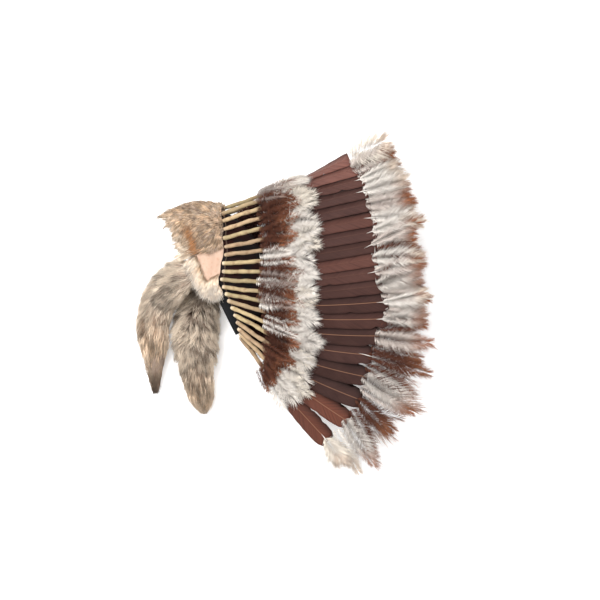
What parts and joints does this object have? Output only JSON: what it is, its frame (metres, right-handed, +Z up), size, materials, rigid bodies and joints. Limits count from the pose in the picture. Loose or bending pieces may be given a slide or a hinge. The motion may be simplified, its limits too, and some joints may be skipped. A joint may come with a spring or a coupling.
{
  "type": "feathered headdress",
  "caption": "Feathered bonnet lying on its side: a soft felt cap with a fan of wrapped feathers, down at foot and tip, a pelt brow strip and a fur tail at each temple.",
  "frame": {"origin": "on the surface that the bonnet lies on, under the middle of its bounding box", "axes": "+Z up; +X from the head opening to the crown; +Y from the nape to the brow"},
  "size_m": [0.5892, 0.5646, 0.145],
  "materials": {
    "felt": "matt wool felt",
    "pelt": "fur with dark tips",
    "hide": "bare tanned hide",
    "tail_fur": "long fur, grey and tan",
    "wrap_hide": "smooth tan hide",
    "feather": "satin dark brown vane",
    "down": "downy plumes"
  },
  "bodies": {
    "root": {"skull_cap": "felt", "brow_band": "pelt", "temple_patch_near": "hide", "temple_patch_far": "hide", "fur_tail_near": "tail_fur", "fur_tail_far": "tail_fur", "quill_wraps_near": "wrap_hide", "quill_wraps_far": "wrap_hide", "base_plumes_near": "down", "base_plumes_far": "down", "feather_near_00": "feather", "feather_near_01": "feather", "feather_near_02": "feather", "feather_near_03": "feather", "feather_near_04": "feather", "feather_near_05": "feather", "feather_near_06": "feather", "feather_near_07": "feather", "feather_near_08": "feather", "feather_near_09": "feather", "feather_near_10": "feather", "feather_near_11": "feather", "feather_near_12": "feather", "feather_near_13": "feather", "feather_near_14": "feather", "feather_near_15": "feather", "feather_near_16": "feather", "feather_near_17": "feather", "feather_near_18": "feather", "feather_far_01": "feather", "feather_far_02": "feather", "feather_far_03": "feather", "feather_far_04": "feather", "feather_far_05": "feather", "feather_far_06": "feather", "feather_far_07": "feather", "feather_far_08": "feather", "feather_far_09": "feather", "feather_far_10": "feather", "feather_far_11": "feather", "feather_far_12": "feather", "feather_far_13": "feather", "feather_far_14": "feather", "feather_far_15": "feather", "feather_far_16": "feather", "feather_far_17": "feather"}
  },
  "joints": []
}
